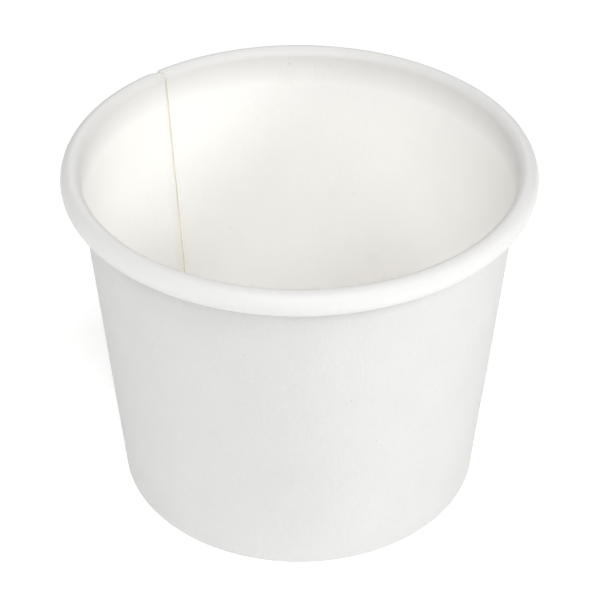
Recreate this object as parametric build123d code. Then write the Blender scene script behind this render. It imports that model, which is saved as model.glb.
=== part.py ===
from build123d import *
from math import asin, atan2, cos, degrees, hypot, pi, radians, sin, tan
import os

# Paper sundae cup, in millimetres. +Z is up, the axis of the cup is Z and it stands on z = 0.
# Two pieces of coated paperboard: the side wall, wrapped from one blank, and the drawn bottom disc.

# --- overall sizes
rim_diameter = 73.0  # across the outside of the rim curl
cup_height = 57.0  # table to the top of the curl
base_diameter = 57.8  # across the outside of the wall, carried down to the table

# --- board
wall_board = 0.36  # thickness of the side wall's board
disc_board = 0.34  # thickness of the bottom disc's board

# --- rim curl
curl_width = 3.05  # across the curl, wall side to outside
curl_height = 3.8  # top of the curl to its underside
curl_clearance = 0.08  # between one turn of a doubled curl and the next
curl_tuck = 0.7  # straight free end inside the curl
curl_flank = 34.0  # half the turn of the curl's flatter outer side, in degrees

# --- foot
hem_height = 4.6  # table to the free edge of the hem
fold_radius = 0.25  # middle of the board, at each corner of the fold under the foot
recess_depth = 6.2  # table to the underside of the disc
draw_radius = 0.55  # middle of the board, where the disc turns down to its skirt
skirt_gap = 0.4  # between the skirt's free edge and the board folded under it
seal_clearance = 0.03  # between two sealed faces

# --- side seam
seam_angle = 130.4  # where the inner layer's cut edge lies, from +X
lap_width = 6.5  # overlap of the two layers, measured at the rim
step_width = 2.4  # length in which the outer layer steps out over the inner one, at the rim

# --- worked out from the sizes above
rim_radius = rim_diameter / 2
base_radius = base_diameter / 2

# The curl is an oval of three arcs: a top, a flatter flank on the outside and a smaller tuck below.
# Its radii, in the middle of the board, give it its width and its height. The tuck comes back up
# beside the wall, with room for a second layer at the seam.
flank = radians(curl_flank)
tuck_step = (2 * wall_board + curl_clearance) / (1 + cos(flank))  # curl_radius less tuck_radius
flank_share = sin(flank) / (1 - cos(flank))
across = curl_width - wall_board
down = curl_height - wall_board
curl_radius = (2 * flank_share * across - down - tuck_step * (1 - sin(flank))) / (4 * flank_share - 2)
flank_radius = (across - curl_radius * (1 + cos(flank))) / (1 - cos(flank))
tuck_radius = curl_radius - tuck_step
curl_x = rim_radius - curl_width + wall_board / 2 + curl_radius
curl_z = cup_height - wall_board / 2 - curl_radius

# The wall's outer face runs from the base circle to touch the inside of the curl's first turn.
taper = atan2(curl_x - base_radius, curl_z) - asin(
    (curl_radius - wall_board / 2) / hypot(curl_x - base_radius, curl_z)
)
wall_x = base_radius - wall_board / (2 * cos(taper))  # middle of the wall's board at z = 0
sandwich = wall_board + disc_board + 2 * seal_clearance  # middle of the wall to middle of the hem
skirt_inset = (wall_board + disc_board) / 2 + seal_clearance  # middle of the wall to that of the skirt
skirt_bottom = 2 * wall_board + skirt_gap

lap_angle = degrees(lap_width / rim_radius)
step_angle = degrees(step_width / rim_radius)


def walk(start, heading, steps):
    """Edges of a path: each step is a straight length, or a turn given as (radius, degrees)."""
    edges = []
    point = Vector(*start)
    direction = Vector(cos(heading), sin(heading))
    for step in steps:
        if isinstance(step, tuple):
            radius, turn = step
            edge = JernArc(point, direction, radius, turn)
        else:
            edge = Line(point, point + direction * step)
        edges.append(edge)
        point = edge @ 1
        direction = edge % 1
    return edges


def sheet(start, heading, steps, near, far):
    """Section of a bent sheet in the XZ plane, between two distances to the right of its path."""
    sides = []
    for distance in (near, far):
        across = Vector(sin(heading), -cos(heading)) * distance
        shifted = []
        for step in steps:
            if isinstance(step, tuple):
                radius, turn = step
                shifted.append((radius + distance if turn > 0 else radius - distance, turn))
            else:
                shifted.append(step)
        sides.append(walk(Vector(*start) + across, heading, shifted))
    first, second = sides
    ends = [Line(first[0] @ 0, second[0] @ 0), Line(first[-1] @ 1, second[-1] @ 1)]
    return Plane.XZ * make_face(Curve() + first + second + ends)


def wall_section(near, far, lift):
    """Section of the side wall, from the hem's free edge to the end of the curl.

    near and far are measured from the middle of the board towards its outer face. lift raises
    the fold under the foot, to leave room for a second layer beneath it.
    """
    fold_z = lift + wall_board / 2 + fold_radius
    fold_x = wall_x - fold_radius / cos(taper) + fold_z * tan(taper)
    fold_flat = (sandwich - 2 * fold_radius) / cos(taper)
    hem_bottom_x = fold_x - fold_flat - fold_radius * cos(taper)
    hem_bottom_z = fold_z + fold_radius * sin(taper)
    hem_length = (hem_height - hem_bottom_z) / cos(taper)
    start = (hem_bottom_x + hem_length * sin(taper), hem_height)

    wall_bottom_z = fold_z - fold_radius * sin(taper)
    wall_top_z = curl_z + curl_radius * sin(taper)
    steps = [
        hem_length,
        (fold_radius, 90 + degrees(taper)),
        fold_flat,
        (fold_radius, 90 - degrees(taper)),
        (wall_top_z - wall_bottom_z) / cos(taper),
        (curl_radius, degrees(taper) + curl_flank - 180),
        (flank_radius, -2 * curl_flank),
        (tuck_radius, curl_flank - 180),
        curl_tuck,
    ]
    return sheet(start, -pi / 2 - taper, steps, near, far)


def make_sidewall():
    """One blank wrapped to a cone, lapped at the seam, with its curl and its hem."""
    middle = wall_board / 2
    single = wall_section(-middle, middle, 0)
    double = wall_section(-middle, middle + wall_board, wall_board)
    outer_layer = wall_section(middle, middle + wall_board, wall_board)

    round_angle = 360 - lap_angle - step_angle
    round_wall = Rot(0, 0, seam_angle + step_angle) * revolve(single, Axis.Z, round_angle)
    lap = Rot(0, 0, seam_angle - lap_angle) * revolve(double, Axis.Z, lap_angle)
    step = loft(
        [Rot(0, 0, seam_angle) * outer_layer, Rot(0, 0, seam_angle + step_angle) * single],
        ruled=True,
    )
    return round_wall + lap + step


def make_bottom_disc():
    """One disc drawn down at its edge, its skirt parallel to the wall and lying against it."""
    disc_z = recess_depth + disc_board / 2
    skirt_x = wall_x - skirt_inset / cos(taper)
    bend_z = disc_z - draw_radius
    bend_x = skirt_x + bend_z * tan(taper) - draw_radius / cos(taper)
    skirt_top_z = bend_z - draw_radius * sin(taper)
    steps = [
        bend_x,
        (draw_radius, -90 - degrees(taper)),
        (skirt_top_z - skirt_bottom) / cos(taper),
    ]
    section = sheet((0, disc_z), 0, steps, -disc_board / 2, disc_board / 2)
    return revolve(section, Axis.Z, 360)


os.makedirs("parts", exist_ok=True)
export_step(make_sidewall(), "parts/sidewall.step")
export_step(make_bottom_disc(), "parts/bottom_disc.step")
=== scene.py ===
"""Paper sundae cup: the look of its two boards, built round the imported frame.

The side wall is one blank of board, wrapped and lapped at a seam, with a rolled rim and a folded
foot. The bottom is one drawn disc. Lengths are metres and angles are degrees unless a name says
otherwise.
"""

import logging
from dataclasses import dataclass, field
from enum import Enum
from math import atan2, asin, cos, degrees, hypot, pi, radians, sin, tan

import bmesh
import bpy
from mathutils import Matrix, Vector, noise


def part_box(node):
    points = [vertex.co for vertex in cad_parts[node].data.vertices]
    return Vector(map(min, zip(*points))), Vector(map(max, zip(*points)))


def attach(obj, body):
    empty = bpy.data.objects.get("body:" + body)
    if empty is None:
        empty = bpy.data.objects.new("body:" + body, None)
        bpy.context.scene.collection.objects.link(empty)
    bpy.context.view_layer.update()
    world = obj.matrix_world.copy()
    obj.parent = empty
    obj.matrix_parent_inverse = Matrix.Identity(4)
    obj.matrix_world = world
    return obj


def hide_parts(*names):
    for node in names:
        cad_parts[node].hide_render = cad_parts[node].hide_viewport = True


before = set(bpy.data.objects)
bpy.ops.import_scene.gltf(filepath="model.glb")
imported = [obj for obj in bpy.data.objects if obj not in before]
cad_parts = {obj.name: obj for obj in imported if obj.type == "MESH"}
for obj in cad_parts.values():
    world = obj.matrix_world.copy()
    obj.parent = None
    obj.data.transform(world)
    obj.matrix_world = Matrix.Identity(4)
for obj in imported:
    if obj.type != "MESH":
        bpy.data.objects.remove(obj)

LOG = logging.getLogger("sundae_cup")
MM = 0.001
ROOT = "root"
ORIGIN = (0.0, 0.0, 0.0)
UP = (0.0, 0.0, 1.0)
Colour = tuple[float, float, float, float]
WHITE: Colour = (1.0, 1.0, 1.0, 1.0)


class BoardFace(Enum):
    """The three kinds of surface on a cut board, in the order of its material slots."""

    OUTSIDE = 0
    INSIDE = 1
    CUT_EDGE = 2


def smooth_step(value: float) -> float:
    """Eases a value from 0 to 1, and holds it at either end."""
    value = min(max(value, 0.0), 1.0)
    return value * value * (3.0 - 2.0 * value)


# ---------------------------------------------------------------- sizes


@dataclass(frozen=True)
class CupSizes:
    """The cup's driving sizes. The rim and the height come from the frame."""

    rim_radius: float
    height: float
    base_radius: float = 28.9 * MM
    wall_board: float = 0.36 * MM
    disc_board: float = 0.34 * MM
    curl_width: float = 3.05 * MM
    curl_height: float = 3.8 * MM
    curl_clearance: float = 0.08 * MM
    curl_tuck: float = 0.7 * MM
    curl_flank: float = 34.0
    hem_height: float = 4.6 * MM
    fold_radius: float = 0.25 * MM
    recess_depth: float = 6.2 * MM
    draw_radius: float = 0.55 * MM
    skirt_gap: float = 0.4 * MM
    seal_clearance: float = 0.03 * MM
    seam_angle: float = 130.4
    lap_width: float = 6.5 * MM
    step_width: float = 2.4 * MM

    @classmethod
    def from_frame(cls) -> "CupSizes":
        """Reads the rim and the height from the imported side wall.

        Returns:
            The cup's sizes.
        """
        low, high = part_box("sidewall")
        return cls(rim_radius=(high[0] - low[0]) / 2, height=high[2])

    @property
    def tuck_step(self) -> float:
        """How much smaller the curl's tuck is than its top."""
        return (2 * self.wall_board + self.curl_clearance) / (1 + cos(radians(self.curl_flank)))

    @property
    def curl_radius(self) -> float:
        """Radius of the curl's top, in the middle of the board."""
        flank = radians(self.curl_flank)
        share = sin(flank) / (1 - cos(flank))
        across = self.curl_width - self.wall_board
        down = self.curl_height - self.wall_board
        return (2 * share * across - down - self.tuck_step * (1 - sin(flank))) / (4 * share - 2)

    @property
    def flank_radius(self) -> float:
        """Radius of the curl's flatter outer side."""
        flank = radians(self.curl_flank)
        across = self.curl_width - self.wall_board
        return (across - self.curl_radius * (1 + cos(flank))) / (1 - cos(flank))

    @property
    def tuck_radius(self) -> float:
        """Radius of the curl's underside."""
        return self.curl_radius - self.tuck_step

    @property
    def curl_z(self) -> float:
        """Height of the middle of the curl's top arc."""
        return self.height - self.wall_board / 2 - self.curl_radius

    @property
    def taper(self) -> float:
        """The wall's lean, in radians: it runs from the base circle to touch the curl."""
        curl_x = self.rim_radius - self.curl_width + self.wall_board / 2 + self.curl_radius
        run = curl_x - self.base_radius
        touch = self.curl_radius - self.wall_board / 2
        return atan2(run, self.curl_z) - asin(touch / hypot(run, self.curl_z))

    @property
    def wall_x(self) -> float:
        """Radius of the middle of the wall's board, carried down to the table."""
        return self.base_radius - self.wall_board / (2 * cos(self.taper))

    @property
    def sandwich(self) -> float:
        """From the middle of the wall to the middle of the hem, round the disc's skirt."""
        return self.wall_board + self.disc_board + 2 * self.seal_clearance

    @property
    def lap(self) -> float:
        """The lap's angle round the cup."""
        return degrees(self.lap_width / self.rim_radius)

    @property
    def step(self) -> float:
        """The angle in which a layer steps over the other."""
        return degrees(self.step_width / self.rim_radius)


# ---------------------------------------------------------------- finishes


class NodeSheet:
    """A small helper that lays out the nodes of one material."""

    def __init__(self, name: str) -> None:
        """Starts an empty material with a Principled shader.

        Args:
            name: The material's name.
        """
        self.material = bpy.data.materials.new(name)
        self.material.use_nodes = True
        self.tree = self.material.node_tree
        self.shader = self.tree.nodes["Principled BSDF"]

    def add(self, kind: str, settings: dict | None = None, **inputs: object) -> bpy.types.Node:
        """Adds a node and sets or links its inputs.

        Args:
            kind: The node's type, without its ShaderNode prefix.
            settings: Attributes to set on the node itself.
            inputs: Values or output sockets, by input name, with _ for a space.

        Returns:
            The new node.
        """
        node = self.tree.nodes.new("ShaderNode" + kind)
        for key, value in (settings or {}).items():
            setattr(node, key, value)
        for key, value in inputs.items():
            self.join(node, key.replace("_", " "), value)
        return node

    def join(self, node: bpy.types.Node, key: str | int, value: object) -> None:
        """Links an output socket to an input, or sets the input's value."""
        if isinstance(value, bpy.types.NodeSocket):
            self.tree.links.new(value, node.inputs[key])
        else:
            node.inputs[key].default_value = value

    def maths(self, operation: str, *values: object) -> bpy.types.NodeSocket:
        """Adds a Math node.

        Args:
            operation: The node's operation.
            values: Its inputs, in order, as numbers or sockets.

        Returns:
            Its result.
        """
        node = self.add("Math", {"operation": operation})
        for place, value in enumerate(values):
            self.join(node, place, value)
        return node.outputs[0]

    def blend(self, amount: object, first: object, second: object) -> bpy.types.NodeSocket:
        """Mixes two colours.

        Args:
            amount: How much of the second colour shows.
            first: The colour at 0.
            second: The colour at 1.

        Returns:
            The mixed colour.
        """
        node = self.add("Mix", {"data_type": "RGBA"})
        for place, value in ((0, amount), (6, first), (7, second)):
            self.join(node, place, value)
        return node.outputs[2]


@dataclass(frozen=True)
class Fleck:
    """A speck in the pulp or a faint rub mark, in the cup's own frame."""

    around: float
    height: float
    radius: float
    depth: float
    soft: float = 0.35


@dataclass(frozen=True)
class PaperFinish:
    """A coated or bare board: its colour, its formation and its grain, and on the coated board a
    painted shade over the rolled rim.
    """

    name: str
    colour: Colour
    shade: Colour
    roughness: float
    specular: float
    sheen: float = 0.0
    grain: float = 0.3
    pebble: float = 0.3
    wrinkles: float = 0.0
    flecks: tuple[Fleck, ...] = ()
    radius_at: tuple[float, float] = (0.0, 0.0)
    # Painted shade: a darker grey blended over the rolled rim, standing in for the weaker light
    # that reaches the rim.
    rim_painted_shade: Colour | None = None

    FIBRE_SIZE = 0.55 * MM
    CLOUD_SIZE = 7.0 * MM
    PEBBLE_SIZE = 0.62 * MM
    PEBBLE_RISE = 0.14 * MM
    FIBRE_RISE = 0.046 * MM
    WRINKLE_RISE = 0.075 * MM
    PEBBLE_STRETCH = (1.0, 1.0, 0.6)
    WRINKLE_SIZE = 0.5 * MM
    WRINKLE_STRETCH = (1.0, 0.12, 1.0)
    FIBRE_SHARE = 0.6
    CLOUD_SHARE = 0.4
    ROUGH_SPREAD = 0.05
    SHEEN_ROUGHNESS = 0.6
    FLECK_COLOUR = (0.16, 0.14, 0.11, 1.0)

    def build(self) -> bpy.types.Material:
        """Makes the material from Object coordinates and the blank's own map.

        Returns:
            The material.
        """
        sheet = NodeSheet(self.name)
        place = sheet.add("TexCoord").outputs["Object"]
        fibre = self._noise(sheet, place, self.FIBRE_SIZE, 4.0, 0.6)
        cloud = self._noise(sheet, place, self.CLOUD_SIZE, 3.0, 0.5)
        fine_part = sheet.maths("MULTIPLY", fibre, self.FIBRE_SHARE)
        broad_part = sheet.maths("MULTIPLY", cloud, self.CLOUD_SHARE)
        mottle = sheet.maths("ADD", fine_part, broad_part)
        colour = sheet.blend(self._range(sheet, mottle, 0.35, 0.65), self.shade, self.colour)
        # Painted shade: the rolled rim is blended towards a darker grey in place of the light that
        # falls short there.
        if self.rim_painted_shade:
            rolled = sheet.add("Attribute", {"attribute_name": "rolled"}).outputs["Fac"]
            colour = sheet.blend(rolled, colour, self.rim_painted_shade)
        colour = self._add_flecks(sheet, place, colour)
        sheet.join(sheet.shader, "Base Color", colour)
        low, high = self.roughness - self.ROUGH_SPREAD, self.roughness + self.ROUGH_SPREAD
        rough = self._range(sheet, fibre, 0.3, 0.7, low, high)
        sheet.join(sheet.shader, "Roughness", rough)
        sheet.shader.inputs["Specular IOR Level"].default_value = self.specular
        sheet.shader.inputs["Sheen Weight"].default_value = self.sheen
        sheet.shader.inputs["Sheen Roughness"].default_value = self.SHEEN_ROUGHNESS
        sheet.join(sheet.shader, "Normal", self._relief(sheet, place, fibre))
        return sheet.material

    @staticmethod
    def _noise(
        sheet: NodeSheet, place: object, size: float, detail: float, rough: float
    ) -> bpy.types.NodeSocket:
        """Adds a noise whose features are about the given size across."""
        node = sheet.add("TexNoise", Vector=place, Scale=1.0 / size, Detail=detail, Roughness=rough)
        return node.outputs["Fac"]

    @staticmethod
    def _range(
        sheet: NodeSheet,
        value: object,
        low: float,
        high: float,
        to_low: float = 0.0,
        to_high: float = 1.0,
    ) -> bpy.types.NodeSocket:
        """Maps a value from one range to another, and holds it at either end."""
        node = sheet.add(
            "MapRange", Value=value, From_Min=low, From_Max=high, To_Min=to_low, To_Max=to_high
        )
        return node.outputs[0]

    def _relief(self, sheet: NodeSheet, place: object, fibre: object) -> bpy.types.NodeSocket:
        """Adds the board's pebble, its fibres and, on a rolled edge, its fine wrinkles.

        Args:
            sheet: The material's nodes.
            place: Object coordinates.
            fibre: The fibre noise.

        Returns:
            The normal.
        """
        stretch = sheet.add("Mapping", Vector=place, Scale=self.PEBBLE_STRETCH).outputs[0]
        pebble = self._noise(sheet, stretch, self.PEBBLE_SIZE, 2.0, 0.5)
        normal = sheet.add(
            "Bump", Strength=self.pebble, Distance=self.PEBBLE_RISE, Height=pebble
        ).outputs[0]
        normal = sheet.add(
            "Bump", Strength=self.grain, Distance=self.FIBRE_RISE, Height=fibre, Normal=normal
        ).outputs[0]
        if self.wrinkles:
            blank = sheet.add("UVMap", {"uv_map": "blank"}).outputs[0]
            creases = sheet.add("Mapping", Vector=blank, Scale=self.WRINKLE_STRETCH).outputs[0]
            fine = self._noise(sheet, creases, self.WRINKLE_SIZE, 2.0, 0.55)
            mask = sheet.add("Attribute", {"attribute_name": "rolled"}).outputs["Fac"]
            height = sheet.maths("MULTIPLY", fine, mask)
            normal = sheet.add(
                "Bump",
                Strength=self.wrinkles,
                Distance=self.WRINKLE_RISE,
                Height=height,
                Normal=normal,
            ).outputs[0]
        return normal

    def _add_flecks(self, sheet: NodeSheet, place: object, colour: object) -> object:
        """Darkens a small round spot at each fleck.

        Args:
            sheet: The material's nodes.
            place: Object coordinates.
            colour: The board's colour.

        Returns:
            The colour with its flecks.
        """
        for fleck in self.flecks:
            radius = self.radius_at[0] + self.radius_at[1] * fleck.height
            angle = radians(fleck.around)
            spot = (radius * cos(angle), radius * sin(angle), fleck.height)
            gap = sheet.add("VectorMath", {"operation": "DISTANCE"})
            sheet.join(gap, 0, place)
            sheet.join(gap, 1, spot)
            core = fleck.radius * fleck.soft
            amount = self._range(sheet, gap.outputs["Value"], core, fleck.radius, fleck.depth, 0.0)
            colour = sheet.blend(amount, colour, self.FLECK_COLOUR)
        return colour


# ---------------------------------------------------------------- sheet work


class Tracer:
    """Draws a sheet's section as one chain of edges, in straights and turns."""

    def __init__(self, bm: bmesh.types.BMesh, start: tuple[float, float], heading: float) -> None:
        """Puts down the first point.

        Args:
            bm: The mesh to draw in.
            start: Its radius and height.
            heading: Direction in radians, from +X towards +Z.
        """
        self.bm = bm
        self.heading = heading
        self.tip = bmesh.ops.create_vert(bm, co=(start[0], 0.0, start[1]))["vert"][0]

    def straight(self, length: float, parts: int) -> None:
        """Draws a straight run in a number of equal parts."""
        step = Vector((cos(self.heading), 0.0, sin(self.heading))) * (length / parts)
        for _ in range(parts):
            self.tip = bmesh.ops.extrude_vert_indiv(self.bm, verts=[self.tip])["verts"][0]
            bmesh.ops.translate(self.bm, verts=[self.tip], vec=step)

    def turn(self, radius: float, angle: float, parts: int) -> None:
        """Draws an arc.

        Args:
            radius: Its radius.
            angle: Its turn in radians, positive to the left.
            parts: How many edges it has.
        """
        side = 1.0 if angle > 0 else -1.0
        left = Vector((-sin(self.heading), 0.0, cos(self.heading)))
        swept = bmesh.ops.spin(
            self.bm,
            geom=[self.tip],
            cent=self.tip.co + left * (side * radius),
            axis=(0.0, -side, 0.0),
            angle=abs(angle),
            steps=parts,
        )
        self.tip = swept["geom_last"][0]
        self.heading += angle


class BoardPiece:
    """A piece cut from one board: shared steps of making its mesh and dressing it."""

    name = "board"
    thickness = 0.0
    SHARP_ANGLE = 50.0

    def finish_mesh(
        self, bm: bmesh.types.BMesh, materials: list[bpy.types.Material]
    ) -> bpy.types.Object:
        """Gives the middle surface its board's thickness, and its three finishes.

        Args:
            bm: The middle surface, facing outwards.
            materials: The finishes in the order of BoardFace.

        Returns:
            The finished object, with its modifiers applied.
        """
        mesh = bpy.data.meshes.new(self.name)
        for face in bm.faces:
            face.smooth = True
        bm.to_mesh(mesh)
        bm.free()
        for material in materials:
            mesh.materials.append(material)
        piece = bpy.data.objects.new(self.name, mesh)
        bpy.context.scene.collection.objects.link(piece)
        board = piece.modifiers.new("board", "SOLIDIFY")
        board.thickness = self.thickness
        board.offset = 0.0
        board.use_even_offset = True
        board.use_rim = True
        board.material_offset = BoardFace.INSIDE.value
        board.material_offset_rim = BoardFace.CUT_EDGE.value
        evaluated = piece.evaluated_get(bpy.context.evaluated_depsgraph_get())
        piece.data = bpy.data.meshes.new_from_object(evaluated)
        piece.modifiers.clear()
        piece.data.name = self.name
        piece.data.set_sharp_from_angle(angle=radians(self.SHARP_ANGLE))
        return piece

    def enrol(self, piece: bpy.types.Object, node: str) -> None:
        """Rides the piece on the cup, in the place of its CAD node."""
        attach(piece, ROOT)
        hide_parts(node)
        LOG.info("%s: %d faces", piece.name, len(piece.data.polygons))


@dataclass
class SideWall(BoardPiece):
    """The wrapped blank: hem, fold, tapered wall and rolled rim, lapped at its seam."""

    sizes: CupSizes
    steps: int = 960
    layer_gap: float = 0.01 * MM
    lift_full: float = 1.1 * MM
    lift_none: float = 3.6 * MM
    rim_wander: float = 0.07 * MM
    rim_ripple: float = 0.018 * MM
    ripple_size: float = 1.3 * MM
    knurl_depth: float = 0.05 * MM
    knurl_pitch: float = 1.25 * MM
    knurl_start: float = 0.6 * MM
    knurl_end: float = 0.8 * MM
    dent: float = 0.05 * MM
    dent_size: float = 22.0 * MM
    dent_foot: float = 8.0 * MM
    ripple_length: float = 4.0 * MM
    rolled_width: float = 9.6 * MM
    rolled_fade: float = 1.2 * MM
    name: str = "cup_sidewall"
    board_length: float = field(default=0.0, init=False)

    @property
    def thickness(self) -> float:
        """The wall's board."""
        return self.sizes.wall_board

    def build(self, materials: list[bpy.types.Material]) -> bpy.types.Object:
        """Makes the side wall.

        Args:
            materials: The finishes in the order of BoardFace.

        Returns:
            The finished object.
        """
        bm = bmesh.new()
        self._trace(bm)
        ring = self._measure(bm)
        self._wrap(bm)
        turned = [place // ring for place in range(len(bm.verts))]
        self._map_blank(bm, turned)
        self._shape(bm, turned)
        piece = self.finish_mesh(bm, materials)
        self.enrol(piece, "sidewall")
        return piece

    @property
    def sweep(self) -> float:
        """The whole turn of the blank, with its lap."""
        return 360.0 + self.sizes.lap

    def _trace(self, bm: bmesh.types.BMesh) -> None:
        """Draws the section from the hem's free edge to the curl's."""
        s = self.sizes
        fold_z = s.wall_board / 2 + s.fold_radius
        fold_x = s.wall_x - s.fold_radius / cos(s.taper) + fold_z * tan(s.taper)
        flat = (s.sandwich - 2 * s.fold_radius) / cos(s.taper)
        hem_x = fold_x - flat - s.fold_radius * cos(s.taper)
        hem_z = fold_z + s.fold_radius * sin(s.taper)
        hem_length = (s.hem_height - hem_z) / cos(s.taper)
        wall_low = fold_z - s.fold_radius * sin(s.taper)
        wall_high = s.curl_z + s.curl_radius * sin(s.taper)
        flank = radians(s.curl_flank)
        start = (hem_x + hem_length * sin(s.taper), s.hem_height)
        tracer = Tracer(bm, start, -pi / 2 - s.taper)
        tracer.straight(hem_length, 4)
        tracer.turn(s.fold_radius, pi / 2 + s.taper, 4)
        tracer.straight(flat, 1)
        tracer.turn(s.fold_radius, pi / 2 - s.taper, 4)
        tracer.straight((wall_high - wall_low) / cos(s.taper), 12)
        tracer.turn(s.curl_radius, s.taper + flank - pi, 10)
        tracer.turn(s.flank_radius, -2 * flank, 6)
        tracer.turn(s.tuck_radius, flank - pi, 6)
        tracer.straight(s.curl_tuck, 1)

    def _measure(self, bm: bmesh.types.BMesh) -> int:
        """Stores each section point's distance along the board from the hem's edge.

        Args:
            bm: The mesh, which holds only the section.

        Returns:
            How many points the section has.
        """
        bm.verts.ensure_lookup_table()
        layer = bm.verts.layers.float.new("along")
        vert, before, length = bm.verts[0], None, 0.0
        while vert is not None:
            vert[layer] = length
            onward = [e for e in vert.link_edges if e.other_vert(vert) is not before]
            before, following = vert, None
            if onward:
                length += onward[0].calc_length()
                following = onward[0].other_vert(vert)
            vert = following
        self.board_length = length
        return len(bm.verts)

    def _wrap(self, bm: bmesh.types.BMesh) -> None:
        """Turns the section clockwise round the cup, once and a lap further."""
        seam = Matrix.Rotation(radians(self.sizes.seam_angle), 3, "Z")
        bmesh.ops.rotate(bm, cent=ORIGIN, matrix=seam, verts=bm.verts[:])
        bmesh.ops.spin(
            bm,
            geom=bm.verts[:] + bm.edges[:],
            cent=ORIGIN,
            axis=(0.0, 0.0, -1.0),
            angle=radians(self.sweep),
            steps=self.steps,
        )
        bm.verts.ensure_lookup_table()
        bm.normal_update()
        upper = max(bm.faces, key=lambda face: face.calc_center_median().xy.length)
        middle = upper.calc_center_median()
        if upper.normal.dot(Vector((middle.x, middle.y, 0.0))) > 0:
            bmesh.ops.reverse_faces(bm, faces=bm.faces[:])
        bm.normal_update()

    def _map_blank(self, bm: bmesh.types.BMesh, turned: list[int]) -> None:
        """Lays the flat blank out as the piece's map, in metres, and marks its rolled edge.

        Args:
            bm: The wrapped surface.
            turned: How many steps each point lies round the cup.
        """
        along = bm.verts.layers.float["along"]
        rolled = bm.verts.layers.float.new("rolled")
        blank = bm.loops.layers.uv.new("blank")
        metres = radians(self.sweep) / self.steps * self.sizes.rim_radius
        curl_start = self.board_length - self.rolled_width
        for vert in bm.verts:
            vert[rolled] = smooth_step((vert[along] - curl_start) / self.rolled_fade)
        for face in bm.faces:
            for loop in face.loops:
                loop[blank].uv = (turned[loop.vert.index] * metres, loop.vert[along])

    def _offset(self, angle: float) -> tuple[float, float]:
        """How far a point of the blank stands out at the seam, and how far its fold is raised.

        Args:
            angle: Degrees round the cup from the inner cut edge.

        Returns:
            The step outwards and the rise of the fold.
        """
        s = self.sizes
        full = s.wall_board + self.layer_gap
        out = full * smooth_step((angle - 360.0 + s.step) / s.step)
        under = full * (1.0 - smooth_step((angle - s.lap) / s.step))
        return out, max(out, under)

    def _shape(self, bm: bmesh.types.BMesh, turned: list[int]) -> None:
        """Moves the points of the plain cone to where a formed blank has them.

        Args:
            bm: The wrapped surface.
            turned: How many steps each point lies round the cup.
        """
        s = self.sizes
        along = bm.verts.layers.float["along"]
        rolled = bm.verts.layers.float["rolled"]
        moves = []
        for vert in bm.verts:
            angle = turned[vert.index] * self.sweep / self.steps
            out, lift = self._offset(angle)
            around = radians(s.seam_angle - angle)
            lift_run = self.lift_none - self.lift_full
            share = 1.0 - smooth_step((vert.co.z - self.lift_full) / lift_run)
            move = vert.normal * out + Vector((0.0, 0.0, lift * share))
            move += self._wander(vert.co, around)
            move += vert.normal * self._relief(vert, vert[along], vert[rolled], around)
            moves.append((vert, move))
        for vert, move in moves:
            vert.co += move
        bm.normal_update()

    def _wander(self, place: Vector, around: float) -> Vector:
        """The slight want of roundness of the rim, which fades out towards the foot."""
        share = smooth_step(place.z / self.sizes.height) * self.rim_wander
        oval, three_lobes = 0.55 * sin(2 * around + 0.6), 0.3 * sin(3 * around + 2.1)
        out = share * (oval + three_lobes + 0.15 * sin(5 * around))
        up = 0.35 * share * sin(2 * around + 2.4)
        return Vector((cos(around) * out, sin(around) * out, up))

    def _relief(
        self, vert: bmesh.types.BMVert, along: float, rolled: float, around: float
    ) -> float:
        """How far the surface stands proud: rim ripples, hem knurls and soft dents of the wall.

        Args:
            vert: The point.
            along: Its distance from the hem's edge.
            rolled: 1 on the curl and 0 on the wall.
            around: Its angle, in radians.

        Returns:
            The distance along its normal.
        """
        s = self.sizes
        arc = around * s.rim_radius / self.ripple_size
        waves = noise.noise(Vector((arc, 3.0 * rolled, along / self.ripple_length)))
        ripple = waves * rolled * self.rim_ripple
        knurl = 0.0
        if along < s.hem_height:
            fade = smooth_step(along / self.knurl_start)
            fade *= smooth_step((s.hem_height - along) / self.knurl_end)
            teeth = round(2 * pi * s.base_radius / self.knurl_pitch)
            knurl = -self.knurl_depth * fade * (0.5 + 0.5 * cos(teeth * around))
        broad = vert.co * (1.0 / self.dent_size)
        soft = noise.noise(broad) * self.dent * (1.0 - rolled)
        soft *= smooth_step(vert.co.z / self.dent_foot)
        return ripple + knurl + soft


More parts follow.
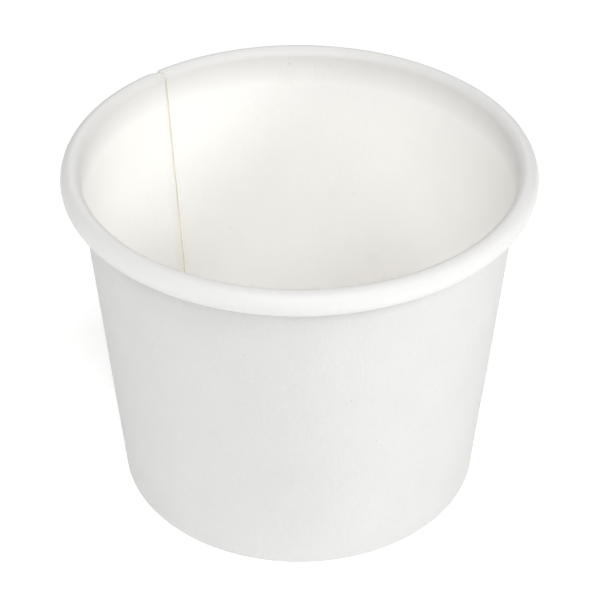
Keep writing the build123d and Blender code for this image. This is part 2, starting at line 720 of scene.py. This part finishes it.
@dataclass
class BottomDisc(BoardPiece):
    """The drawn disc: a flat floor with its skirt turned down inside the fold."""

    sizes: CupSizes
    steps: int = 480
    pleats: int = 96
    pleat_depth: float = 0.008 * MM
    sag: float = 0.12 * MM
    uneven_share: float = 0.4
    uneven_size: float = 16.0 * MM
    uneven_edge: float = 6.0 * MM
    weld: float = 0.001 * MM
    name: str = "cup_bottom"

    @property
    def thickness(self) -> float:
        """The disc's board."""
        return self.sizes.disc_board

    def build(self, materials: list[bpy.types.Material]) -> bpy.types.Object:
        """Makes the bottom.

        Args:
            materials: The finishes in the order of BoardFace.

        Returns:
            The finished object.
        """
        s = self.sizes
        bm = bmesh.new()
        disc_z = s.recess_depth + s.disc_board / 2
        inset = (s.wall_board + s.disc_board) / 2 + s.seal_clearance
        bend_z = disc_z - s.draw_radius
        bend_x = s.wall_x + bend_z * tan(s.taper) - (inset + s.draw_radius) / cos(s.taper)
        skirt = bend_z - s.draw_radius * sin(s.taper) - 2 * s.wall_board - s.skirt_gap
        tracer = Tracer(bm, (0.0, disc_z), 0.0)
        tracer.straight(bend_x, 26)
        tracer.turn(s.draw_radius, -pi / 2 - s.taper, 6)
        tracer.straight(skirt / cos(s.taper), 6)
        bmesh.ops.spin(
            bm,
            geom=bm.verts[:] + bm.edges[:],
            cent=ORIGIN,
            axis=UP,
            angle=2 * pi,
            steps=self.steps,
            use_merge=True,
        )
        bmesh.ops.remove_doubles(bm, verts=bm.verts[:], dist=self.weld)
        bmesh.ops.recalc_face_normals(bm, faces=bm.faces[:])
        if max(bm.faces, key=lambda face: face.calc_center_median().z).normal.z > 0:
            bmesh.ops.reverse_faces(bm, faces=bm.faces[:])
        self._form(bm, disc_z, bend_x)
        piece = self.finish_mesh(bm, materials)
        self.enrol(piece, "bottom_disc")
        return piece

    def _form(self, bm: bmesh.types.BMesh, disc_z: float, bend_x: float) -> None:
        """Gives the floor its slight sag and unevenness, and the skirt its fine pleats.

        Args:
            bm: The drawn disc.
            disc_z: Height of the flat disc.
            bend_x: Radius at which it starts to turn down.
        """
        for vert in bm.verts:
            out = vert.co.xy.length
            if out < bend_x:
                share = 1.0 - smooth_step(out / bend_x)
                uneven = noise.noise(vert.co * (1.0 / self.uneven_size))
                uneven *= smooth_step((bend_x - out) / self.uneven_edge)
                vert.co.z -= self.sag * (share + self.uneven_share * uneven)
            elif vert.co.z < disc_z:
                around = atan2(vert.co.y, vert.co.x)
                vert.co.xy *= 1.0 - self.pleat_depth * (0.5 + 0.5 * cos(self.pleats * around)) / out
        bm.normal_update()


# ---------------------------------------------------------------- studio


@dataclass(frozen=True)
class SoftBox:
    """A square lamp that points at the middle of the cup."""

    name: str
    around: float
    above: float
    away: float
    size: float
    watts: float
    colour: tuple[float, float, float] = (1.0, 1.0, 1.0)

    def place(self, target: Vector) -> None:
        """Puts the lamp up, facing the target."""
        lamp = bpy.data.lights.new(self.name, "AREA")
        lamp.shape = "DISK"
        lamp.size = self.size
        lamp.energy = self.watts
        lamp.color = self.colour
        holder = bpy.data.objects.new(self.name, lamp)
        level = cos(radians(self.above))
        around = radians(self.around)
        offset = Vector((level * cos(around), level * sin(around), sin(radians(self.above))))
        holder.location = target + offset * self.away
        holder.rotation_euler = (-offset).to_track_quat("-Z", "Y").to_euler()
        bpy.context.scene.collection.objects.link(holder)


@dataclass
class Studio:
    """A white sweep, soft lamps and the camera."""

    sizes: CupSizes
    elevation: float = 36.04
    distance: float = 331.1 * MM
    aim: tuple[float, float, float] = (0.12 * MM, 0.0, 30.16 * MM)
    lens: float = 124.0
    sensor: float = 36.0
    nearest: float = 0.01
    roll: float = 0.12
    floor_half: float = 3.0
    floor_colour: Colour = (0.92, 0.92, 0.915, 1.0)
    floor_roughness: float = 0.9
    floor_glow: float = 0.28
    world_light: float = 0.02
    lamps: tuple[SoftBox, ...] = (
        SoftBox("front_low", -90.0, 20.0, 1.0, 0.4, 1.4),
        SoftBox("front", -90.0, 40.0, 1.0, 0.4, 2.9),
        SoftBox("front_high", -90.0, 65.0, 1.0, 0.4, 1.5),
        SoftBox("front_right", -50.0, 45.0, 1.0, 0.35, 1.6),
        SoftBox("right", -10.0, 25.0, 1.0, 0.4, 3.9),
        SoftBox("left", 180.0, 45.0, 1.0, 0.5, 3.5),
        SoftBox("back", 90.0, 35.0, 1.0, 0.6, 2.1),
    )

    def build(self) -> None:
        """Makes the floor, the light and the camera."""
        self._floor()
        self._world()
        target = Vector((0.0, 0.0, self.sizes.height / 2))
        for lamp in self.lamps:
            lamp.place(target)
        self._camera()
        bpy.context.scene.view_settings.view_transform = "Standard"
        LOG.info("studio: %d lamps", len(self.lamps))

    def _floor(self) -> None:
        """Lays a large pale floor that the cup stands on."""
        bm = bmesh.new()
        bmesh.ops.create_grid(bm, x_segments=8, y_segments=8, size=self.floor_half)
        mesh = bpy.data.meshes.new("floor")
        bm.to_mesh(mesh)
        bm.free()
        floor = bpy.data.objects.new("floor", mesh)
        bpy.context.scene.collection.objects.link(floor)
        sheet = NodeSheet("floor_white")
        sheet.shader.inputs["Base Color"].default_value = self.floor_colour
        sheet.shader.inputs["Roughness"].default_value = self.floor_roughness
        sheet.shader.inputs["Emission Color"].default_value = WHITE
        sheet.shader.inputs["Emission Strength"].default_value = self.floor_glow
        mesh.materials.append(sheet.material)

    def _world(self) -> None:
        """Fills the room with even white light."""
        world = bpy.data.worlds.new("room")
        world.use_nodes = True
        back = world.node_tree.nodes["Background"]
        back.inputs["Color"].default_value = WHITE
        back.inputs["Strength"].default_value = self.world_light
        bpy.context.scene.world = world

    def _camera(self) -> None:
        """Sets the camera where it looks down into the cup."""
        lens = bpy.data.cameras.new("camera")
        lens.lens = self.lens
        lens.sensor_width = self.sensor
        lens.clip_start = self.nearest
        camera = bpy.data.objects.new("camera", lens)
        angle = radians(self.elevation)
        aim = Vector(self.aim)
        camera.location = aim + Vector((0.0, -cos(angle), sin(angle))) * self.distance
        turn = (aim - camera.location).to_track_quat("-Z", "Y").to_matrix()
        camera.rotation_euler = (turn @ Matrix.Rotation(radians(self.roll), 3, "Z")).to_euler()
        bpy.context.scene.collection.objects.link(camera)
        bpy.context.scene.camera = camera


# ---------------------------------------------------------------- the cup


def outside_flecks() -> tuple[Fleck, ...]:
    """Specks and rub marks on the bare outside."""
    return (
        Fleck(228.0, 39.5 * MM, 0.13 * MM, 0.5),
        Fleck(256.0, 43.5 * MM, 0.13 * MM, 0.35),
        Fleck(284.0, 34.5 * MM, 0.14 * MM, 0.6),
        Fleck(297.5, 31.5 * MM, 0.12 * MM, 0.3),
        Fleck(292.0, 25.0 * MM, 0.15 * MM, 0.45),
        Fleck(309.0, 11.0 * MM, 1.7 * MM, 0.02, 0.7),
        Fleck(12.0, 40.0 * MM, 0.14 * MM, 0.4),
        Fleck(58.0, 22.0 * MM, 0.13 * MM, 0.5),
        Fleck(95.0, 36.0 * MM, 0.12 * MM, 0.4),
        Fleck(160.0, 18.0 * MM, 0.15 * MM, 0.4),
    )


def inside_flecks() -> tuple[Fleck, ...]:
    """Specks and rub marks on the coated inside."""
    return (
        Fleck(93.0, 54.5 * MM, 0.15 * MM, 0.5),
        Fleck(81.5, 54.5 * MM, 0.12 * MM, 0.25),
        Fleck(93.5, 52.0 * MM, 1.6 * MM, 0.02, 0.7),
        Fleck(125.5, 49.5 * MM, 0.13 * MM, 0.35),
        Fleck(113.0, 25.0 * MM, 0.14 * MM, 0.4),
        Fleck(72.5, 31.0 * MM, 0.14 * MM, 0.3),
        Fleck(64.5, 19.0 * MM, 1.7 * MM, 0.02, 0.7),
        Fleck(79.0, 30.0 * MM, 1.2 * MM, 0.012, 0.7),
    )


def board_finishes(sizes: CupSizes) -> list[bpy.types.Material]:
    """Makes the side wall's three finishes.

    Args:
        sizes: The cup's sizes.

    Returns:
        The finishes in the order of BoardFace.
    """
    slope = tan(sizes.taper)
    outside = PaperFinish(
        "bare_board",
        (0.68, 0.68, 0.669, 1.0),
        (0.65, 0.65, 0.637, 1.0),
        roughness=0.72,
        specular=0.35,
        grain=0.5,
        pebble=0.5,
        wrinkles=0.5,
        flecks=outside_flecks(),
        radius_at=(sizes.base_radius, slope),
    )
    inside = PaperFinish(
        "coated_board",
        (0.955, 0.944, 0.92, 1.0),
        (0.94, 0.929, 0.903, 1.0),
        roughness=0.55,
        specular=0.4,
        grain=0.25,
        pebble=0.25,
        wrinkles=0.5,
        flecks=inside_flecks(),
        radius_at=(sizes.base_radius - sizes.wall_board, slope),
        # Painted shade on the rolled rim: a darker grey copy of the same coated board.
        rim_painted_shade=(0.75, 0.745, 0.73, 1.0),
    )
    edge = PaperFinish(
        "raw_cut_edge",
        (0.9, 0.86, 0.74, 1.0),
        (0.86, 0.81, 0.68, 1.0),
        roughness=0.9,
        specular=0.2,
        grain=0.6,
        pebble=0.4,
    )
    return [finish.build() for finish in (outside, inside, edge)]


def main() -> None:
    """Builds the cup and its studio."""
    logging.basicConfig(level=logging.INFO, format="%(name)s %(message)s")
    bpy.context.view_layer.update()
    sizes = CupSizes.from_frame()
    materials = board_finishes(sizes)
    SideWall(sizes).build(materials)
    BottomDisc(sizes).build(materials)
    Studio(sizes).build()


if __name__ == "__main__":
    main()
